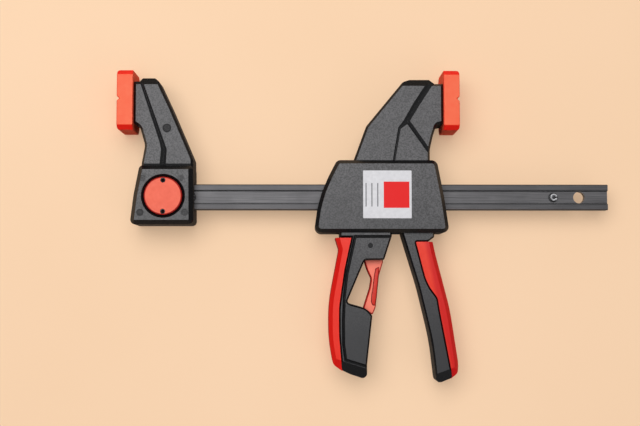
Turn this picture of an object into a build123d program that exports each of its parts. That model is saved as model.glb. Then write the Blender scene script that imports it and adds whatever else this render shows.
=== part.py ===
from build123d import *
import math
import os

# One-handed bar clamp in its spreading set-up, lying on its rear face. Millimetres.
# X runs along the bar towards its free end, Y runs towards the jaw tips, Z is up.
# The origin is on the resting plane, under the bar's centre line at the middle of the carriage.

# Fits between pieces, the run of a rib into its wall, and a reach past any piece that is cut
press_gap = 0.02
running_gap = 0.05
sliding_gap = 0.3
seat_gap = 0.3
overlap = 0.5
beyond = 60.0

# Bar
bar_length = 359.1
bar_height = 19.5
bar_thickness = 9.5
bar_flange = 4.5
bar_web = 5.5
bar_flange_slope = 0.6
bar_corner = 0.8
bar_free_end = 174.0
bar_hole_radius = 4.4
bar_hole_inset = 21.6

# Stop pins across the bar
stop_pin_radius = 2.75
stop_pin_bore = 1.4
stop_pin_length = 12.6
stop_pin_slot = 0.9
stop_pin_spacing = 19.9

# Carriage housing
housing_wall = 3.0
housing_side_room = 2.0
housing_bevel = 2.8
housing_above_bar = 17.45
housing_below_bar = 17.75
plateau_left = -33.0
outer_skin = 1.5
arm_thickness = 30.0
arm_wall = 2.6
arm_bevel = 1.8
arm_band_slope = 0.5
arm_tip_slope = (5.2, 4.0)
arm_rib_heights = (14.0, 30.0)
handle_side_step = 2.0
handle_bevel = 1.3
handle_end_slope = (8.5, 5.0)
groove_half_width = 1.2
groove_slope = 0.8
grip_gap = 0.1
grip_skin = 3.2
grip_bevel = 3.0
grip_proud = 0.2

# Housing screws, driven from the rear
screw_radius = 1.7
screw_head_radius = 3.4
screw_head_height = 2.4
screw_recess = 3.0
screw_end_room = 0.5
screw_boss_radius = 3.8

# Pads, and where their outer faces and middles are
moving_pad_face = 59.6
moving_pad_height = 45.55
fixed_pad_reach = 35.3
fixed_pad_height = 49.5
pad_depth = 12.0
pad_height = 45.5
pad_bevel = 3.6
pad_corner = 2.0
pad_notch_depth = 2.0
pad_notch_height = 3.4
pad_notch_offset = 0.85
lug_depth = 3.2
lug_height = 26.0
lug_width = 22.0

# Fixed head
head_thickness = 34.0
head_bevel = 3.2
head_above_bar = 13.5
head_below_bar = 11.5
fixed_arm_thickness = 27.0
fixed_arm_bevel = 1.8

# Lock button, yoke and pin in the fixed head
button_rim = 0.65
button_ring_width = 2.25
button_ring_depth = 2.0
button_proud = 1.0
button_bevel = 0.75
button_travel = 3.8
button_clearance = 0.25
button_pocket_radius = 8.5
button_pocket_depth = 4.0
lock_floor = 2.35
lock_screw_radius = 1.2
lock_screw_head = 1.9
lock_screw_head_depth = 1.4
lock_screw_sunk = 0.4
lock_screw_offset = 1.95
yoke_rim = 0.6
yoke_thickness = 2.5
lock_pin_radius = 4.2
lock_pin_engagement = 3.3
lock_pin_bevel = 0.6
lock_spring_radius = 6.5
lock_spring_wire = 1.0
lock_spring_turns = 3

# Drive lever
lever_thickness = 26.0
lever_bevel = 1.3
lever_end_slope = (9.0, 5.0)
lever_pin_radius = 2.5
lever_pin_half_length = 16.3
lever_pin_x = 18.5
lever_hub_radius = 5.0
lever_hub_gap = 0.5
lever_boss_radius = 4.6
lever_nose_radius = 2.3
lever_nose_gap = 0.55
lever_side_gap = 0.4
cheek_thickness = 3.7
fork_drop = 6.75

# Drive plates and the coil that returns them
drive_plate_thickness = 2.5
drive_plate_half_width = 8.9
drive_plate_above_bar = 6.75
drive_plate_below_bar = 2.85
drive_face_x = 9.95
seat_rib_x = -11.75
seat_rib_depth = 6.25
drive_spring_wire = 1.6
drive_spring_turns = 4

# Brake plate, its fulcrum and its coil
brake_thickness = 4.0
brake_half_width = 8.5
brake_tail_half_width = 5.0
brake_tilt = 2.5
brake_fulcrum_x = -17.5
brake_fulcrum_above_bar = 7.25
brake_head = 2.0
brake_head_room = 2.3
brake_shoulder = 5.0
brake_back_gap = 0.8
brake_tail_depth = 20.5
brake_grip_gap = 0.05
brake_spring_radius = 3.1
brake_spring_wire = 1.0
brake_spring_turns = 4
brake_spring_drop = 9.5
brake_spring_length = 11.0
brake_spring_rib_drop = 4.0
rib_thickness = 2.5

# Springs are drawn as this many straight steps in each turn
coil_steps = 10
coil_end_room = 0.2

# Release trigger
trigger_half_width = 7.0
trigger_bevel = 0.8
trigger_hub_radius = 4.6
trigger_hub_side = 4.0
trigger_neck_inset = 0.25
trigger_side_gap = 1.2
trigger_boss_radius = 3.6
trigger_pin_radius = 1.9
trigger_pin_x = -7.95
trigger_pin_depth = 9.6
trigger_pin_sunk = 0.2
pin_end_gap = 0.1

# Planes and lines that several pieces share
housing_thickness = lever_thickness + 2 * (housing_side_room + housing_wall)
handle_thickness = lever_thickness + 2 * handle_side_step
mid = housing_thickness / 2
bar_half = bar_height / 2
bar_left_end = bar_free_end - bar_length
free_hole_x = bar_free_end - bar_hole_inset
lock_x = bar_left_end + bar_hole_inset
housing_top = bar_half + housing_above_bar
housing_bottom = -bar_half - housing_below_bar
lever_pin_y = housing_top - housing_wall - lever_hub_gap - lever_hub_radius
lever_nose_y = bar_half + lever_nose_gap + lever_nose_radius
lever_nose_x = drive_face_x + seat_gap + lever_nose_radius
fork_floor = -bar_half - fork_drop
trigger_pin_y = housing_bottom - trigger_pin_depth
brake_fulcrum_y = bar_half + brake_fulcrum_above_bar
brake_tail_y = housing_bottom - brake_tail_depth
brake_spring_y = -bar_half - brake_spring_drop
trigger_pin_low = mid - handle_thickness / 2 + outer_skin


def rounded(points, radii):
    # a closed outline in plan with its corners rounded
    return make_face(FilletPolyline(*points, radius=radii, close=True))


def slab(face, half):
    # a plate of this outline, reaching as far in front of the mid plane as behind it
    return Pos(0, 0, mid) * extrude(face, amount=half, both=True)


def block(x_low, x_high, y_low, y_high, half):
    # a plain block about the mid plane
    centre = Pos((x_low + x_high) / 2, (y_low + y_high) / 2, mid)
    return centre * Box(x_high - x_low, y_high - y_low, 2 * half)


def post(x, y, z_low, z_high, radius):
    # an upright cylinder between two heights
    return Pos(x, y, (z_low + z_high) / 2) * Cylinder(radius, z_high - z_low)


def bevelled(solid, size):
    # both broad faces of a slab with their rims bevelled
    layers = solid.faces().sort_by(Axis.Z)
    return chamfer(layers[0].edges() + layers[-1].edges(), size)


def raised(points, base):
    # an outline whose heights are counted from a base line
    return [(x, base + y, *rest) for x, y, *rest in points]


def prism(x, y, z_low, z_high, radius, sides):
    # an upright post with flats, for what stays out of sight
    return Pos(x, y, z_low) * extrude(RegularPolygon(radius, sides), amount=z_high - z_low)


def trough(path, half, slope):
    # a V groove along (x, y, half width) points, the same in the front and the rear of a slab
    rings = []
    for i, (x, y, width) in enumerate(path):
        before, here, after = path[max(i - 1, 0)], path[i], path[min(i + 1, len(path) - 1)]
        arriving = heading(before, here) if i else heading(here, after)
        leaving = heading(here, after) if after is not here else arriving
        along = (arriving + leaving).normalized()
        reach = (width + overlap) / along.dot(arriving)
        high = half + overlap * slope
        left = (x - along.Y * reach, y + along.X * reach, high)
        right = (x + along.Y * reach, y - along.X * reach, high)
        rings.append((left, (x, y, half - width * slope), right))
    skins = [rings[0], rings[-1]]
    for one, two in zip(rings, rings[1:]):
        for k in range(3):
            turn = (k + 1) % 3
            skins.append((one[k], one[turn], two[k]))
            skins.append((one[turn], two[turn], two[k]))
    faces = [make_face(Polyline(*skin, close=True)).face() for skin in skins]
    cut = Pos(0, 0, mid) * Solid(Shell(faces))
    return cut + mirror(cut, about=Plane.XY.offset(mid))


def heading(start, end):
    # the direction in plan from one point to another
    return Vector(end[0] - start[0], end[1] - start[1], 0).normalized()


def end_slopes(x, y, angle, half, slope):
    # both broad faces of a slab fall away from this line, towards this angle
    length, drop = slope
    high = half + overlap
    far = length + overlap
    low = half - drop * far / length
    corners = [(0, high), (0, half), (far, low), (far + beyond, low), (far + beyond, high)]
    wedge = extrude(Plane.XZ * make_face(Polyline(*corners, close=True)), amount=beyond, both=True)
    wedge += mirror(wedge, about=Plane.XY)
    return Pos(x, y, mid) * Rot(0, 0, angle) * wedge


def coil(radius, wire, length, turns):
    # a spring that stands on the plan, its helix in short straight steps
    count = turns * coil_steps
    rise = length - wire - coil_end_room
    points = []
    for i in range(count + 1):
        angle = 2 * math.pi * i / coil_steps
        height = (wire + coil_end_room) / 2 + rise * i / count
        points.append((radius * math.cos(angle), radius * math.sin(angle), height))
    path = Polyline(*points)
    section = Plane(origin=path @ 0, z_dir=path % 0) * RegularPolygon(wire / 2, 6)
    return sweep(section, path, transition=Transition.RIGHT)


# Bar and its stop pins


def bar():
    half, thick, web = bar_half, bar_thickness / 2, bar_web / 2
    inner = half - bar_flange
    quarter = [
        (inner - bar_flange_slope, web),
        (inner, thick),
        (half - bar_corner, thick),
        (half, thick - bar_corner),
    ]
    outline = quarter + [(y, -z) for y, z in reversed(quarter)]
    outline += [(-y, -z) for y, z in quarter]
    outline += [(-y, z) for y, z in reversed(quarter)]
    section = Plane.YZ * make_face(Polyline(*outline, close=True))
    rail = Pos(bar_left_end, 0, mid) * extrude(section, amount=bar_length)
    for x in (free_hole_x, lock_x):
        rail -= post(x, 0, mid - thick, mid + thick, bar_hole_radius)
    for x in stop_pin_places():
        rail -= post(x, 0, mid - thick, mid + thick, stop_pin_radius + press_gap)
    return rail


def stop_pin_places():
    return (free_hole_x - stop_pin_spacing, lock_x + stop_pin_spacing)


def stop_pins():
    half = stop_pin_length / 2
    pins = []
    for x in stop_pin_places():
        pin = post(x, 0, mid - half, mid + half, stop_pin_radius)
        pin -= post(x, 0, mid - half, mid + half, stop_pin_bore)
        slot = Box(stop_pin_radius, stop_pin_slot, stop_pin_length)
        pin -= Pos(x + stop_pin_radius / 2 + stop_pin_bore / 2, 0, mid) * slot
        pins.append(pin)
    return Compound(children=pins)


def bar_passage(x_low, x_high, gap):
    # the room that the bar takes, with this much clearance all round
    return block(x_low, x_high, -bar_half - gap, bar_half + gap, bar_thickness / 2 + gap)


# Pads, which slip over a lug on each jaw


def pad(face_x, centre_y, way):
    half = pad_height / 2
    notch = pad_notch_height / 2
    profile = [
        (0, -half),
        (pad_depth, -half),
        (pad_depth, pad_notch_offset - notch),
        (pad_depth - pad_notch_depth, pad_notch_offset),
        (pad_depth, pad_notch_offset + notch),
        (pad_depth, half),
        (0, half),
    ]
    outline = [(face_x + way * (x - pad_depth), centre_y + y) for x, y in profile]
    body = slab(rounded(outline, [0, pad_corner, 0, 0, 0, pad_corner, 0]), mid)
    low, high = centre_y - half, centre_y + half
    side = [(low + pad_bevel, 0), (high - pad_bevel, 0), (high, pad_bevel)]
    side += [(y, 2 * mid - z) for y, z in reversed(side)]
    side += [(low, 2 * mid - pad_bevel), (low, pad_bevel)]
    side = Plane.YZ * make_face(Polyline(*side, close=True))
    body &= Pos(face_x, 0, 0) * extrude(side, amount=2 * pad_depth, both=True)
    return body - lug(face_x, centre_y, way, running_gap)


def lug(face_x, centre_y, way, gap):
    back_x = face_x - way * pad_depth
    reach = back_x + way * (lug_depth + gap)
    low, high = sorted((back_x, reach))
    half = lug_height / 2 + gap
    return block(low, high, centre_y - half, centre_y + half, lug_width / 2 + gap)


# Fixed jaw on the left end of the bar, placed from its lock hole

head_top = bar_half + head_above_bar
head_bottom = -bar_half - head_below_bar
fixed_pad_face = lock_x - fixed_pad_reach
fixed_pad_y = head_top + fixed_pad_height
fixed_arm_height = 66.9
head_points = [
    (-18.3, head_top),
    (22.0, head_top),
    (22.5, head_bottom),
    (-25.2, head_bottom),
    (-22.5, 1.0),
]
head_radii = [3.4, 3.4, 3.4, 3.6, 30.0]
fixed_arm_points = [
    (-17.4, -6.0),
    (-16.8, 2.0),
    (-14.4, 15.5),
    (-18.3, 29.0),
    (-23.3, 32.6),
    (-23.3, 63.9),
    (-18.8, 64.2),
    (-16.9, fixed_arm_height),
    (-7.6, fixed_arm_height),
    (-4.5, 64.3),
    (5.2, 43.8),
    (21.9, 5.0),
    (22.0, -6.0),
]
fixed_arm_radii = [0, 8.0, 10.0, 5.0, 0, 0, 0, 0, 0, 2.5, 40.0, 6.0, 0]
fixed_arm_band = [
    (-18.4, 65.5, 1.1),
    (-16.7, 61.3, 1.2),
    (-8.1, 36.0, 1.5),
    (-1.7, 18.0, 1.7),
    (0.0, 12.0, 2.2),
    (-1.1, -2.0, 2.5),
]


def from_lock(points):
    return [(lock_x + x, *rest) for x, *rest in points]


def fixed_jaw():
    half = head_thickness / 2
    head = bevelled(slab(rounded(from_lock(head_points), head_radii), half), head_bevel)
    outline = rounded(from_lock(raised(fixed_arm_points, head_top)), fixed_arm_radii)
    half = fixed_arm_thickness / 2
    arm = bevelled(slab(outline, half), fixed_arm_bevel)
    arm -= trough(from_lock(raised(fixed_arm_band, head_top)), half, arm_band_slope)
    tip = head_top + fixed_arm_height - arm_tip_slope[0]
    arm -= end_slopes(lock_x, tip, 90, half, arm_tip_slope)
    jaw = head + arm + lug(fixed_pad_face, fixed_pad_y, -1, 0)
    jaw -= bar_passage(lock_x - beyond, lock_x + beyond, sliding_gap)
    return jaw - pin_relief() - lock_cavity()


def pin_relief():
    # room at the slot's mouth for the ends of the stop pin
    x = lock_x + stop_pin_spacing - stop_pin_radius - seat_gap
    half = stop_pin_length / 2 + seat_gap
    reach = stop_pin_radius + seat_gap
    return block(x, x + beyond, -reach, reach, half)


# Heights of the lock
head_front = mid + head_thickness / 2
slot_top = mid + bar_thickness / 2 + sliding_gap
slot_bottom = mid - bar_thickness / 2 - sliding_gap
button_floor = slot_top + lock_floor
yoke_ceiling = slot_bottom - lock_floor
button_top = head_front + button_proud
button_low = button_floor + button_travel + seat_gap
yoke_top = yoke_ceiling - seat_gap
lock_pin_top = mid - bar_web / 2 + lock_pin_engagement
lock_screw_y = bar_half + lock_screw_offset
button_radius = lock_screw_y + lock_screw_head + button_rim
yoke_radius = lock_screw_y + lock_screw_radius + yoke_rim
lock_screw_seat = button_top - lock_screw_head_depth


def lock_cavity():
    room = post(lock_x, 0, button_floor, 2 * mid, button_radius + button_clearance)
    ring = Cone(button_radius, button_radius + 2 * button_ring_width, 2 * button_ring_depth)
    room += Pos(lock_x, 0, head_front) * ring
    room += post(lock_x, 0, 0, yoke_ceiling, yoke_radius + button_clearance)
    room += post(lock_x, 0, 0, mid, lock_pin_radius + running_gap)
    for y in (-lock_screw_y, lock_screw_y):
        room += prism(lock_x, y, 0, head_front, lock_screw_radius + seat_gap, 6)
    return room


def lock_button():
    cap = post(lock_x, 0, button_low, button_top, button_radius)
    cap = chamfer(cap.edges().group_by(Axis.Z)[-1], button_bevel)
    cap -= post(lock_x, 0, 0, button_low + button_pocket_depth, button_pocket_radius)
    for y in (-lock_screw_y, lock_screw_y):
        cap -= prism(lock_x, y, button_low, button_top, lock_screw_radius + press_gap, 6)
        cap -= post(lock_x, y, lock_screw_seat, 2 * mid, lock_screw_head + press_gap)
    return cap


def lock_screws():
    screws = []
    for y in (-lock_screw_y, lock_screw_y):
        low = yoke_top - yoke_thickness
        screw = prism(lock_x, y, low, lock_screw_seat + overlap, lock_screw_radius, 6)
        screw += post(lock_x, y, lock_screw_seat, button_top - lock_screw_sunk, lock_screw_head)
        screws.append(screw)
    return Compound(children=screws)


def lock_yoke():
    plate = post(lock_x, 0, yoke_top - yoke_thickness, yoke_top, yoke_radius)
    plate -= post(lock_x, 0, 0, mid, lock_pin_radius + press_gap)
    for y in (-lock_screw_y, lock_screw_y):
        plate -= prism(lock_x, y, 0, mid, lock_screw_radius + press_gap, 6)
    return plate


def lock_pin():
    pin = post(lock_x, 0, yoke_top - yoke_thickness, lock_pin_top, lock_pin_radius)
    return chamfer(pin.edges().group_by(Axis.Z)[-1], lock_pin_bevel)


def lock_spring():
    low = button_floor + running_gap
    high = button_low + button_pocket_depth - running_gap
    spring = coil(lock_spring_radius, lock_spring_wire, high - low, lock_spring_turns)
    return Pos(lock_x, 0, low) * spring


# Carriage housing: one hollow form, split at the mid plane into two shells

plateau_points = [
    (plateau_left, housing_top),
    (42.3, housing_top),
    (47.7, -1.0),
    (51.6, housing_bottom),
    (-50.3, housing_bottom),
    (-47.9, -10.0),
    (-44.5, 2.5),
    (-39.7, 14.0),
]
plateau_radii = [4.5, 5.0, 60.0, 4.5, 5.0, 40.0, 40.0, 40.0]
moving_pad_y = housing_top + moving_pad_height
jaw_arm_height = 61.8
jaw_arm_points = [
    (-23.3, -8.0),
    (-10.9, 25.8),
    (17.2, 60.0),
    (22.3, jaw_arm_height),
    (37.1, jaw_arm_height),
    (41.0, 58.3),
    (47.6, 58.3),
    (47.6, 28.3),
    (42.4, 27.2),
    (39.4, 18.0),
    (37.2, 8.0),
    (37.2, -8.0),
]
jaw_arm_radii = [0, 9.0, 6.0, 3.0, 0, 0, 0, 0, 3.0, 30.0, 10.0, 0]
jaw_trunk_band = [
    (38.2, 59.5, 2.3),
    (26.6, 41.7, 2.4),
    (19.5, 29.5, 2.2),
    (14.3, 24.3, 1.1),
    (9.9, -1.0, 1.0),
]
jaw_branch_band = [(20.3, 30.0, 1.6), (37.5, 5.5, 1.5)]
handle_left = [
    (-31.2, 6.0),
    (-30.8, -3.4),
    (-22.2, -3.4),
    (-27.6, -28.0),
    (-31.6, -56.0),
    (-31.6, -77.0),
    (-29.3, -102.9),
]
handle_left_radii = [0, 0, 0, 90.0, 70.0, 120.0, 2.0]
handle_end = [(-23.3, -105.8), (-13.0, -109.2), (-10.6, -106.6), (-10.7, -99.0)]
handle_end_radii = [20.0, 3.0, 3.0, 2.0]
handle_notch = [
    (-6.6, -62.2),
    (-9.4, -58.6),
    (-12.4, -56.4),
    (-22.5, -53.6),
    (-25.6, -52.0),
    (-12.2, -20.6),
    (2.4, -20.4),
]
handle_notch_radii = [1.4, 8.0, 8.0, 6.0, 1.8, 2.5, 1.4]
handle_neck = [(8.2, -2.5), (8.2, 6.0)]
grip_back = [
    (-34.2, -3.8),
    (-31.6, -12.5),
    (-39.3, -53.0),
    (-39.3, -80.0),
    (-36.0, -98.5),
    (-29.6, -103.2),
]
grip_back_radii = [0, 6.0, 120.0, 120.0, 6.0, 0]
panel_groove = [
    (8.0, -2.9),
    (-19.4, -2.9),
    (-25.6, -31.0),
    (-27.6, -48.0),
    (-28.3, -66.0),
    (-28.1, -84.0),
    (-26.6, -95.0),
    (-9.5, -100.2),
]
handle_end_line = (-18.9, -98.9)
handle_end_angle = -107.5
grip_core = [(-25.3, -103.2), (-25.3, -51.0), (-22.5, -34.0), (-15.5, -3.8)]
lever_gap_ends = (3.0, 41.5)
screw_places = [
    (-29.5, housing_top - 7.0),
    (37.2, housing_top - 7.2),
    (-41.5, housing_bottom + 7.0),
    (38.0, housing_top + 42.0),
    (-20.0, housing_bottom - 96.0),
]


def plateau_face():
    return rounded(plateau_points, plateau_radii)


def jaw_arm_face():
    return rounded(raised(jaw_arm_points, housing_top), jaw_arm_radii)


def handle_face():
    points = handle_left + handle_end + handle_notch + handle_neck
    radii = handle_left_radii + handle_end_radii + handle_notch_radii + [2.0, 0]
    return rounded(raised(points, housing_bottom), radii)


def grip_hull():
    points = raised(grip_back + grip_core, housing_bottom)
    return rounded(points, grip_back_radii + [0, 0, 0, 0])


def grip_spine(gap):
    # the rib of the handle that the soft grip closes over
    half = handle_thickness / 2 - grip_skin + gap
    face = offset(grip_hull(), amount=gap - grip_skin)
    return slab(face, half)


def housing_form():
    # the outside of both shells together
    plateau = bevelled(slab(plateau_face(), mid), housing_bevel)
    arm = bevelled(slab(jaw_arm_face(), arm_thickness / 2), arm_bevel)
    for band in (jaw_trunk_band, jaw_branch_band):
        arm -= trough(raised(band, housing_top), arm_thickness / 2, arm_band_slope)
    tip = housing_top + jaw_arm_height - arm_tip_slope[0]
    arm -= end_slopes(moving_pad_face, tip, 90, arm_thickness / 2, arm_tip_slope)
    handle = bevelled(slab(handle_face(), handle_thickness / 2), handle_bevel)
    groove = [(x, y, groove_half_width) for x, y in raised(panel_groove, housing_bottom)]
    handle -= trough(groove, handle_thickness / 2, groove_slope)
    handle -= handle_end_cut()
    return plateau + arm + handle + grip_spine(0) + lug(moving_pad_face, moving_pad_y, 1, 0)


def handle_end_cut():
    # the slopes below the panel, at the bottom of the handle
    x, y = handle_end_line
    return end_slopes(x, housing_bottom + y, handle_end_angle, handle_thickness / 2, handle_end_slope)


def bottom_opening():
    # the gap in the floor of the housing that the lever swings in
    reach = lever_thickness / 2 + lever_side_gap
    left, right = lever_gap_ends
    low = housing_bottom - housing_wall
    return block(left, right, low, housing_bottom + housing_wall + overlap, reach)


def lever_nest():
    # the squeezed lever enters the neck of the handle here
    reach = lever_thickness / 2 + lever_side_gap
    points = raised([(3.0, -1.0), (9.0, -1.0), (9.0, -20.0), (3.0, -17.0)], housing_bottom)
    return slab(make_face(Polyline(*points, close=True)), reach)


def trigger_rooms():
    # chambers in the neck for the brake's tail and the trigger, and the slot for its tip
    deep = handle_thickness / 2 - housing_wall
    narrow = trigger_half_width + trigger_side_gap
    upper = [(-21.0, 5.0), (3.2, 5.0), (2.4, -8.0), (0.6, -17.0), (-20.0, -17.0)]
    lower = [(-20.2, -16.0), (4.0, -16.0), (4.0, -24.0), (-10.0, -25.5), (-17.8, -25.5), (-20.2, -21.5)]
    tip = [(-25.8, -48.0), (-25.8, -57.5), (-21.0, -64.8), (-3.0, -64.8), (-3.0, -50.0)]
    rooms = slab(make_face(Polyline(*raised(upper, housing_bottom), close=True)), deep)
    rooms += slab(make_face(Polyline(*raised(lower, housing_bottom), close=True)), narrow)
    rooms += slab(make_face(Polyline(*raised(tip, housing_bottom), close=True)), narrow)
    return rooms


def hollow():
    room = slab(offset(plateau_face(), amount=-housing_wall), mid - housing_wall)
    room += bar_passage(-beyond, beyond, sliding_gap)
    room += bottom_opening()
    room += lever_nest()
    room += trigger_rooms()
    room += arm_room()
    return room + handle_room()


def arm_room():
    # the hollow of the jaw arm, between its ribs
    face = offset(jaw_arm_face(), amount=-arm_wall)
    room = slab(face, arm_thickness / 2 - arm_wall)
    room -= block(-beyond, beyond, 0, housing_top, mid)
    for height in arm_rib_heights:
        low = housing_top + height
        room -= block(-beyond, beyond, low, low + rib_thickness, mid)
    return room


def handle_room():
    # the hollow in the lower half of the handle
    points = [(-28.0, -69.0), (-10.5, -69.0), (-13.6, -96.0), (-25.0, -92.5)]
    face = rounded(raised(points, housing_bottom), [1.5, 1.5, 1.5, 1.5])
    return slab(face, handle_thickness / 2 - arm_wall)


def inner_ribs():
    # ribs that seat the drive coil, the brake plate and its coil
    depth = mid - housing_wall + overlap
    ceiling = housing_top - housing_wall + overlap
    floor = housing_bottom + housing_wall - overlap
    half = rib_thickness / 2
    ribs = block(seat_rib_x - half, seat_rib_x + half, -bar_half - seat_rib_depth, ceiling, depth)
    back = brake_fulcrum_x - brake_thickness / 2 - brake_back_gap
    ribs += block(back - rib_thickness, back, brake_fulcrum_y - brake_head, ceiling, depth)
    ribs += block(back, seat_rib_x, brake_fulcrum_y + brake_head_room, ceiling, depth)
    stop = brake_spring_left()
    ribs += block(stop - rib_thickness, stop, floor, -bar_half - brake_spring_rib_drop, depth)
    return ribs - bar_passage(-beyond, beyond, sliding_gap)


def bosses():
    # pin bosses and screw posts
    depth = mid - housing_wall + overlap
    clear = lever_thickness / 2 + seat_gap
    posts = twin_posts(lever_pin_x, lever_pin_y, clear, depth, lever_boss_radius)
    depth = handle_thickness / 2 - outer_skin
    clear = trigger_half_width + trigger_hub_side + seat_gap
    posts += twin_posts(trigger_pin_x, trigger_pin_y, clear, depth, trigger_boss_radius)
    for x, y in screw_places:
        high = screw_post_half(y)
        posts += prism(x, y, mid - high, mid + high, screw_boss_radius, 8)
    return posts


def twin_posts(x, y, inner, outer, radius):
    # a boss on each side of a piece that turns between them
    front = prism(x, y, mid + inner, mid + outer, radius, 8)
    return front + prism(x, y, mid - outer, mid - inner, radius, 8)


def screw_post_half(y):
    # how far the shells reach from the mid plane at this screw, less a skin
    inside = housing_bottom < y < housing_top
    return (housing_thickness if inside else arm_thickness) / 2 - outer_skin


def pin_holes():
    reach = lever_pin_half_length + pin_end_gap
    holes = post(lever_pin_x, lever_pin_y, mid - reach, mid + reach, lever_pin_radius + press_gap)
    low = trigger_pin_low - pin_end_gap
    holes += post(trigger_pin_x, trigger_pin_y, low, 2 * mid, trigger_pin_radius + press_gap)
    for x, y in screw_places:
        half = screw_post_half(y)
        rear = mid - half - outer_skin
        tip = mid + half - outer_skin
        holes += prism(x, y, rear, tip, screw_radius + running_gap, 6)
        holes += post(x, y, rear - 1, rear + screw_recess, screw_head_radius + running_gap)
    return holes


def housing_shells():
    form = housing_form()
    body = form - hollow()
    inside = (inner_ribs() + bosses()) & form
    body = body + inside - pin_holes()
    front = split(body, bisect_by=Plane.XY.offset(mid), keep=Keep.TOP)
    rear = split(body, bisect_by=Plane.XY.offset(mid), keep=Keep.BOTTOM)
    return front, rear


def housing_screws():
    screws = []
    for x, y in screw_places:
        half = screw_post_half(y)
        seat = mid - half - outer_skin + screw_recess
        tip = mid + half - outer_skin - screw_end_room
        screw = post(x, y, seat - screw_head_height, seat, screw_head_radius)
        screw += prism(x, y, seat - overlap, tip, screw_radius, 6)
        screws.append(screw)
    return Compound(children=screws)


def handle_grip():
    hull = slab(grip_hull(), handle_thickness / 2 + grip_proud)
    hull = chamfer(back_rims(hull, grip_back, grip_core), grip_bevel)
    return hull - slab(handle_face(), mid) - grip_spine(grip_gap) - handle_end_cut()


def back_rims(hull, back, core):
    # the rims of a grip's broad faces, without the edges that its piece covers
    hidden = Polyline(*raised([back[-1]] + core + [back[0]], housing_bottom))
    layers = hull.faces().sort_by(Axis.Z)
    rims = []
    for edge in layers[0].edges() + layers[-1].edges():
        middle = edge.center()
        if hidden.distance_to(Vector(middle.X, middle.Y, 0)) > overlap:
            rims.append(edge)
    return rims


# Drive lever with its fork round the bar

lever_front = [(16.4, 4.0), (16.0, 0.0), (28.6, -41.3), (38.0, -81.0), (41.7, -112.8)]
lever_front_radii = [0, 8.0, 200.0, 200.0, 3.0]
lever_end = [(46.0, -111.8), (53.6, -108.6)]
lever_end_radii = [10.0, 2.0]
lever_end_line = (46.9, -103.5)
lever_end_angle = -70.0
lever_back = [(50.6, -93.0), (44.0, -58.0), (42.6, -49.0), (36.9, -41.3), (33.6, -34.5), (26.4, -6.7)]
lever_back_radii = [200.0, 60.0, 8.0, 8.0, 30.0, 0.8]
lever_wing = [(35.6, -6.7), (40.4, -3.2), (40.6, 4.0)]
lever_wing_radii = [2.0, 2.0, 0]
lever_grip_back = [
    (39.3, -6.7),
    (41.4, -16.5),
    (51.9, -57.0),
    (58.2, -99.0),
    (57.4, -105.4),
    (52.6, -109.4),
]
lever_grip_radii = [0, 20.0, 200.0, 30.0, 5.0, 0]
lever_grip_core = [
    (50.0, -108.0),
    (41.6, -58.0),
    (40.6, -50.5),
    (35.0, -43.0),
    (31.0, -34.5),
    (25.0, -8.5),
    (26.6, -6.7),
]


def lever_face():
    points = lever_front + lever_end + lever_back + lever_wing
    radii = lever_front_radii + lever_end_radii + lever_back_radii + lever_wing_radii
    return rounded(raised(points, housing_bottom), radii)


def lever_hull():
    points = raised(lever_grip_back + lever_grip_core, housing_bottom)
    return rounded(points, lever_grip_radii + [0] * len(lever_grip_core))


def lever_spine(gap):
    half = lever_thickness / 2 - grip_skin + gap
    return slab(offset(lever_hull(), amount=gap - grip_skin), half)


def lever_root():
    # the part of the lever inside the housing, below the bar
    low = housing_bottom + 3.9
    points = [(16.4, low), (14.0, fork_floor), (37.6, fork_floor), (40.6, low)]
    return slab(rounded(points, [0, 1.5, 1.5, 0]), lever_thickness / 2)


def lever_cheeks():
    # one cheek on each side of the bar, up to the pivot
    points = [
        (14.3, fork_floor - 3),
        (12.9, bar_half),
        (lever_pin_x - lever_hub_radius, lever_pin_y),
        (lever_pin_x - 2.0, lever_pin_y + lever_hub_radius),
        (lever_pin_x + 2.0, lever_pin_y + lever_hub_radius),
        (lever_pin_x + lever_hub_radius + 1.0, lever_pin_y),
        (28.0, bar_half),
        (35.0, fork_floor - 3),
    ]
    radii = [0, 20.0, 3.0, 1.8, 1.8, 3.0, 20.0, 0]
    cheeks = slab(rounded(points, radii), lever_thickness / 2)
    inner = lever_thickness / 2 - cheek_thickness
    return cheeks - block(0, beyond, fork_floor, housing_top, inner)


def lever_nose():
    # the cross piece over the bar that pushes the drive plates
    nose = Pos(lever_nose_x, lever_nose_y) * Circle(lever_nose_radius)
    hub = Pos(lever_pin_x, lever_pin_y) * Circle(lever_hub_radius)
    return slab(make_hull(nose.edges() + hub.edges()), lever_thickness / 2)


def drive_lever():
    blade = bevelled(slab(lever_face(), lever_thickness / 2), lever_bevel) - lever_end_cut()
    lever = blade + lever_root() + lever_cheeks() + lever_nose() + lever_spine(0)
    bore = lever_pin_radius + running_gap
    return lever - post(lever_pin_x, lever_pin_y, 0, 2 * mid, bore)


def lever_end_cut():
    # the slopes at the bottom of the lever
    x, y = lever_end_line
    return end_slopes(x, housing_bottom + y, lever_end_angle, lever_thickness / 2, lever_end_slope)


def lever_grip():
    hull = slab(lever_hull(), lever_thickness / 2 + grip_proud)
    hull = chamfer(back_rims(hull, lever_grip_back, lever_grip_core), grip_bevel)
    return hull - slab(lever_face(), mid) - lever_spine(grip_gap) - lever_end_cut()


def lever_pin():
    half = lever_pin_half_length
    return post(lever_pin_x, lever_pin_y, mid - half, mid + half, lever_pin_radius)


# Drive plates, brake plate and their springs


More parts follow.
